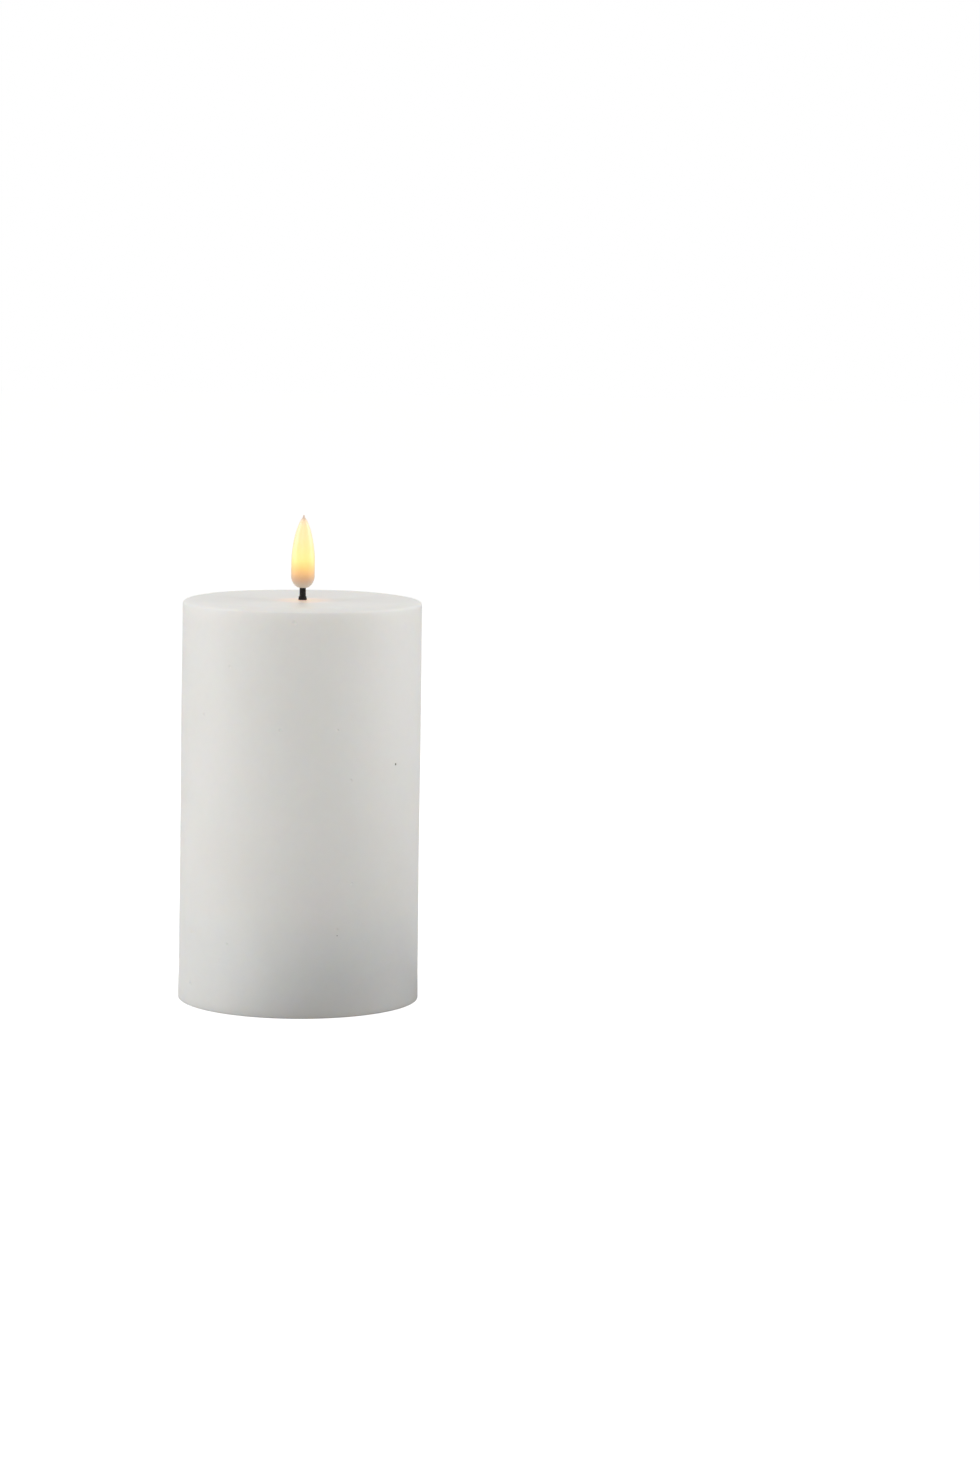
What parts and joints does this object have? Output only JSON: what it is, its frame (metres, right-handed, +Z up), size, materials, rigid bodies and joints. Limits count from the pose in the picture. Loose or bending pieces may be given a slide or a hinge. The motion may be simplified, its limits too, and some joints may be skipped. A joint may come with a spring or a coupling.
{
  "type": "flameless led candle",
  "caption": "Wax-look pillar candle with a glowing translucent flame on a black wick, and a battery housing with a hinged door and a slide switch in its foot.",
  "frame": {"origin": "centre of the wax's resting ring, on the surface that the candle stands on", "axes": "+Z up along the candle, front towards -Y, battery cells and hinge along X"},
  "size_m": [0.075, 0.075, 0.1511],
  "materials": {
    "wax": "satin, slightly translucent",
    "flame": "translucent, lit from inside",
    "wick": "satin",
    "lens": "gloss",
    "white_plastic": "fine matt",
    "black_plastic": "fine matt",
    "rubber": "matt",
    "steel": "satin",
    "nickel": "bright",
    "cell_sleeve": "gloss",
    "board": "satin",
    "capacitor_can": "gloss",
    "resistor_body": "gloss",
    "wire_red": "satin",
    "wire_black": "satin"
  },
  "bodies": {
    "candle": {"wax_body": "wax", "flame_shell": "flame", "wick_tube": "wick", "wick_collar": "wick", "led_lamp": "lens", "led_lead_1": "steel", "led_lead_2": "steel", "lamp_holder": "white_plastic", "base_housing": "white_plastic", "housing_cover": "white_plastic", "wire_grommet": "rubber", "cover_screw_1": "steel", "cover_screw_2": "steel", "cover_screw_3": "steel", "battery_cell_1": "cell_sleeve", "battery_cell_2": "cell_sleeve", "bridge_contact": "nickel", "plus_contact": "nickel", "minus_contact": "nickel", "contact_spring_1": "nickel", "contact_spring_2": "nickel", "circuit_board": "board", "board_screw_1": "steel", "board_screw_2": "steel", "controller_chip": "black_plastic", "timer_crystal": "steel", "capacitor": "capacitor_can", "resistor": "resistor_body", "switch_body": "steel", "battery_wire_red": "wire_red", "battery_wire_black": "wire_black", "led_wire_red": "wire_red", "led_wire_black": "wire_black"},
    "door": {"battery_door": "white_plastic"},
    "switch": {"switch_slider": "black_plastic"}
  },
  "joints": [
    {"name": "door_hinge", "type": "hinge", "parent": "candle", "child": "door", "pos_m": [0, -0.0176, 0.0022], "axis": [-1, 0, 0], "range_deg": [0, 95]},
    {"name": "switch_slide", "type": "slide", "parent": "candle", "child": "switch", "axis": [1, 0, 0], "range_m": [-0.002, 0.002]}
  ]
}
